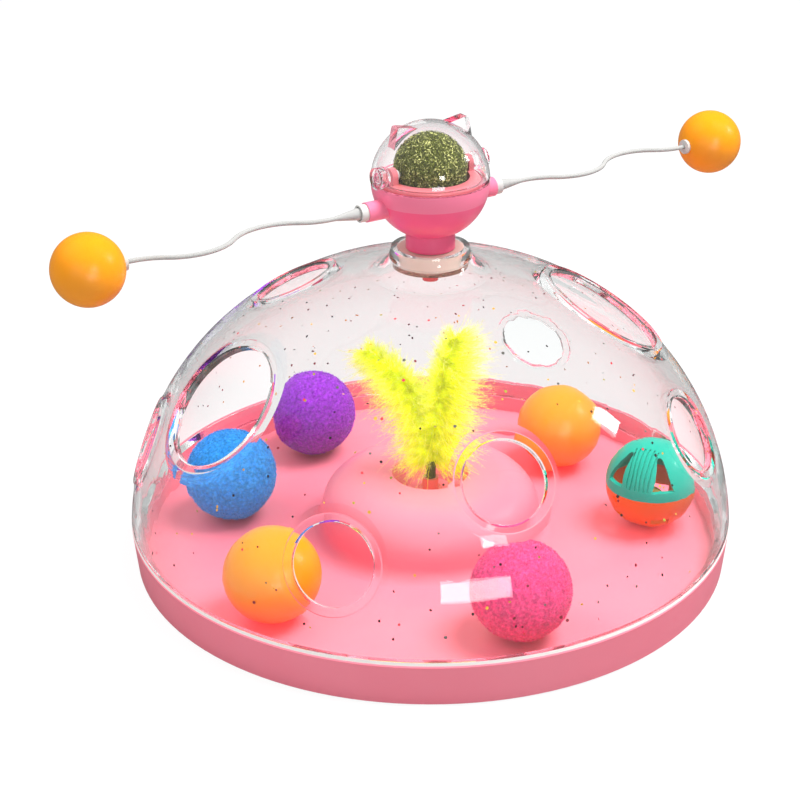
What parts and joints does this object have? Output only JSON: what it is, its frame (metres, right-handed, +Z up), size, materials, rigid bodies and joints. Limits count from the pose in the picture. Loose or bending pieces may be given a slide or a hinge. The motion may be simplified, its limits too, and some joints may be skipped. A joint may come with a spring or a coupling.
{
  "type": "cat turntable toy",
  "caption": "Clear dome with paw holes over a tray of loose balls and a feather; a spinning pod on top carries a catnip ball under an eared cover and wire arms with ball ends.",
  "frame": {"origin": "middle of the rubber pads' rest plane, under the base", "axes": "+Z up along the pod's spin axis, +X along the arm at the picture's right, +Y to the back"},
  "size_m": [0.3298, 0.266, 0.1941],
  "materials": {
    "base_pink": "glossy moulded plastic",
    "pad_rubber": "soft matt",
    "socket_coral": "glossy",
    "quill_green": "satin",
    "plume_yellow": "downy",
    "clear": "clear and polished",
    "bush_cream": "satin",
    "bowl_pink": "glossy",
    "band_pink": "glossy",
    "holder_pink": "glossy",
    "washer_steel": "bright",
    "screw_red": "lacquered",
    "white": "satin",
    "catnip_green": "rough pressed leaf",
    "ball_orange": "semi-gloss",
    "plush_purple": "fluffy",
    "plush_blue": "fluffy",
    "plush_magenta": "fluffy",
    "rattle_teal": "glossy",
    "rattle_orange": "glossy",
    "bell_brass": "bright",
    "pellet_steel": "bright"
  },
  "bodies": {
    "base": {"base_tray": "base_pink", "anti_slip_pads": "pad_rubber", "feather_socket": "socket_coral"},
    "dome": {"clear_dome": "clear", "bearing_bush": "bush_cream"},
    "pod": {"pod_bowl": "bowl_pink", "arm_ring": "band_pink", "spindle_washer": "washer_steel", "spindle_screw": "screw_red", "catnip_holder": "holder_pink", "catnip_axle": "white", "left_collar": "white", "right_collar": "white"},
    "catnip": {"catnip_ball": "catnip_green"},
    "cover": {"clear_cover": "clear"},
    "left_wand": {"left_boot": "white", "left_wire": "white", "left_ferrule": "white", "left_end_ball": "ball_orange"},
    "right_wand": {"right_boot": "white", "right_wire": "white", "right_ferrule": "white", "right_end_ball": "ball_orange"},
    "feather": {"feather_quill": "quill_green", "plume_left": "plume_yellow", "plume_right": "plume_yellow"},
    "orange_front": {"orange_ball_front": "ball_orange"},
    "orange_back": {"orange_ball_back": "ball_orange"},
    "purple_plush": {"purple_plush_ball": "plush_purple"},
    "blue_plush": {"blue_plush_ball": "plush_blue"},
    "magenta_plush": {"magenta_plush_ball": "plush_magenta"},
    "rattle": {"rattle_upper": "rattle_teal", "rattle_lower": "rattle_orange"},
    "bell": {"jingle_bell": "bell_brass"},
    "pellet": {"bell_pellet": "pellet_steel"}
  },
  "joints": [
    {"name": "dome_lift", "type": "slide", "parent": "base", "child": "dome", "axis": [0, 0, 1], "range_m": [0, 0.15]},
    {"name": "pod_spin", "type": "hinge", "parent": "dome", "child": "pod", "pos_m": [0, 0, 0.1414], "axis": [0, 0, 1], "continuous": true},
    {"name": "catnip_spin", "type": "hinge", "parent": "pod", "child": "catnip", "pos_m": [0, 0, 0.1739], "axis": [1, 0, 0], "continuous": true},
    {"name": "cover_lift", "type": "slide", "parent": "pod", "child": "cover", "axis": [0, 0, 1], "range_m": [0, 0.05]},
    {"name": "left_wand_flex", "type": "hinge", "parent": "pod", "child": "left_wand", "pos_m": [-0.0344, 0, 0.1607], "axis": [0, 1, 0], "range_deg": [-15, 15], "stiffness_Nm_per_rad": 1},
    {"name": "right_wand_flex", "type": "hinge", "parent": "pod", "child": "right_wand", "pos_m": [0.0344, 0, 0.1607], "axis": [0, 1, 0], "range_deg": [-15, 15], "stiffness_Nm_per_rad": 1},
    {"name": "feather_pull", "type": "slide", "parent": "base", "child": "feather", "axis": [0, 0, 1], "range_m": [0, 0.015]},
    {"name": "orange_front_roll_round", "type": "hinge", "parent": "base", "child": "orange_front", "pos_m": [0, 0, 0.0253], "axis": [0, 0, 1], "range_deg": [-15, 18]},
    {"name": "orange_back_roll_round", "type": "hinge", "parent": "base", "child": "orange_back", "pos_m": [0, 0, 0.0253], "axis": [0, 0, 1], "range_deg": [-8, 30]},
    {"name": "purple_plush_roll_round", "type": "hinge", "parent": "base", "child": "purple_plush", "pos_m": [0, 0, 0.0261], "axis": [0, 0, 1], "range_deg": [-26, 9]},
    {"name": "blue_plush_roll_round", "type": "hinge", "parent": "base", "child": "blue_plush", "pos_m": [0, 0, 0.0261], "axis": [0, 0, 1], "range_deg": [-9, 15]},
    {"name": "magenta_plush_roll_round", "type": "hinge", "parent": "base", "child": "magenta_plush", "pos_m": [0, 0, 0.0261], "axis": [0, 0, 1], "range_deg": [-18, 22]},
    {"name": "rattle_roll_round", "type": "hinge", "parent": "base", "child": "rattle", "pos_m": [0, 0, 0.0256], "axis": [0, 0, 1], "range_deg": [-22, 8]},
    {"name": "bell_swing", "type": "hinge", "parent": "rattle", "child": "bell", "pos_m": [0.08617, -0.04975, 0.0256], "axis": [0.866, -0.5, 0], "range_deg": [-40, 40]},
    {"name": "pellet_swing", "type": "hinge", "parent": "bell", "child": "pellet", "pos_m": [0.08617, -0.04975, 0.0151], "axis": [0.866, -0.5, 0], "range_deg": [-40, 40]}
  ]
}
